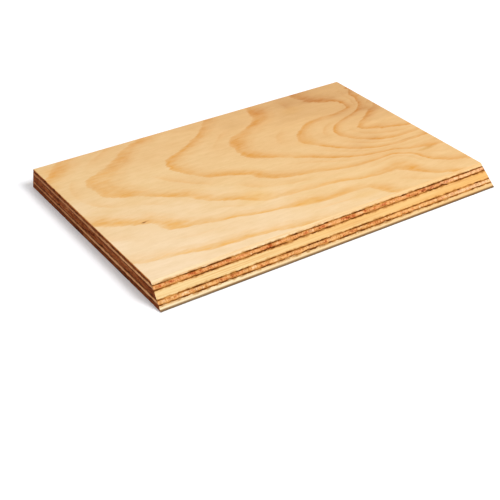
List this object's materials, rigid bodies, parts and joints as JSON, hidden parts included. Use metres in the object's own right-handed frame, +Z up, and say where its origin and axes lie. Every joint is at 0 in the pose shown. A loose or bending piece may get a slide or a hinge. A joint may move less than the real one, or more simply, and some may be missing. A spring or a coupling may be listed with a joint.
{
  "type": "plywood panel",
  "caption": "Rectangular softwood plywood panel of crosswise veneers, with one long edge sawn to a bevel and slightly off-square ends.",
  "frame": {"origin": "middle of the back face, the face that the panel lies on", "axes": "+X along the panel and the grain of its face, +Y from the bevelled edge to the square edge, +Z up through the thickness"},
  "size_m": [0.3048, 0.2032, 0.0159],
  "materials": {
    "face_veneer": "sanded, unfinished",
    "crossband": "sawn, unfinished",
    "centre_veneer": "sawn, unfinished",
    "back_veneer": "sanded, unfinished"
  },
  "bodies": {
    "root": {"face_veneer": "face_veneer", "upper_crossband": "crossband", "centre_veneer": "centre_veneer", "lower_crossband": "crossband", "back_veneer": "back_veneer"}
  },
  "joints": []
}
